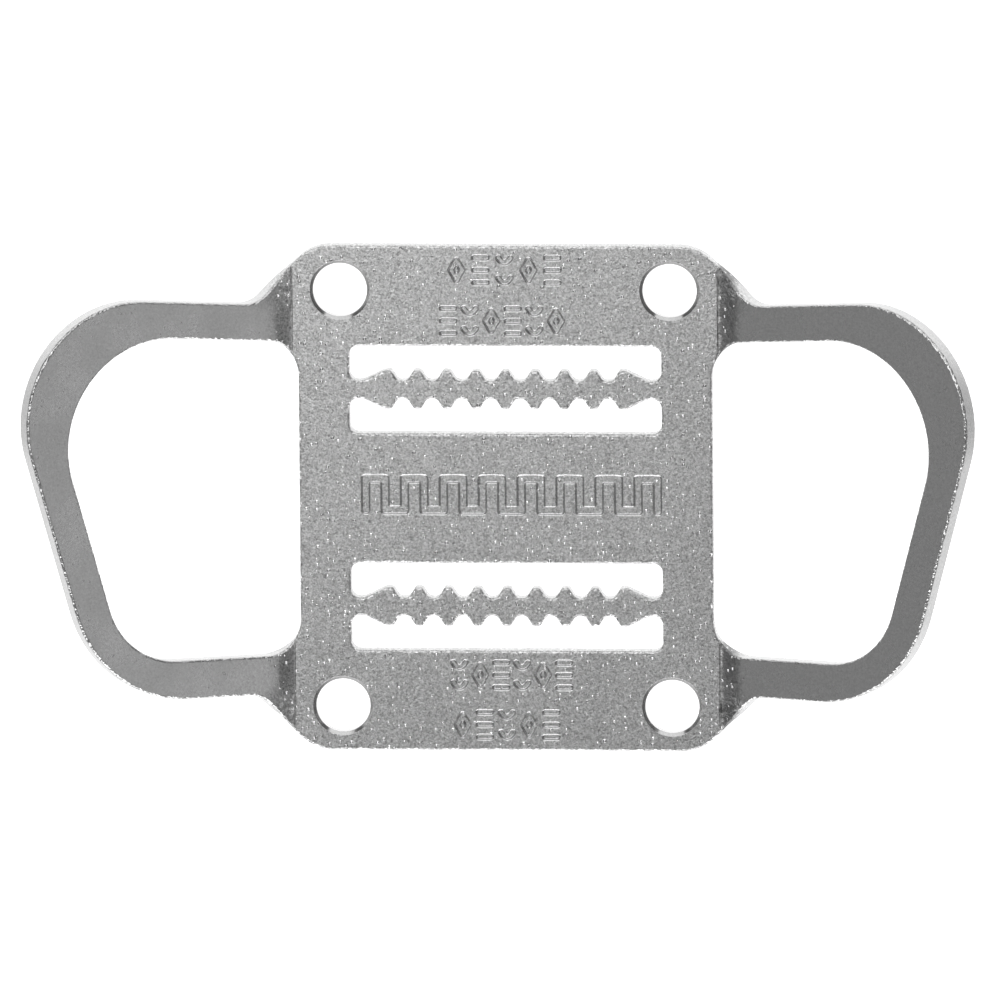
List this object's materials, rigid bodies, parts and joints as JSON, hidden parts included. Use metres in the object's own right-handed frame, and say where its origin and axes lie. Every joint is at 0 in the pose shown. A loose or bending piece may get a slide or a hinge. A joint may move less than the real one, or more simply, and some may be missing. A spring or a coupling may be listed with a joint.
{
  "type": "harness rail plate",
  "caption": "Flat harness plate with toothed webbing slots, corner holes and an upswept D-shaped grab rail on each side, all one bent sheet.",
  "frame": {"origin": "middle of the centre plate on its flat back face, which is the bottom centre of the bounding box", "axes": "+X across the plate from rail to rail, +Y up the plate towards the wider end of the rails, +Z out of the front face, the side the rails rise towards"},
  "size_m": [0.159, 0.0856, 0.0266],
  "materials": {
    "tumbled_stainless": "tumbled stainless steel, satin, with a fine pitted grain"
  },
  "bodies": {
    "root": {"rail_plate": "tumbled_stainless"}
  },
  "joints": []
}
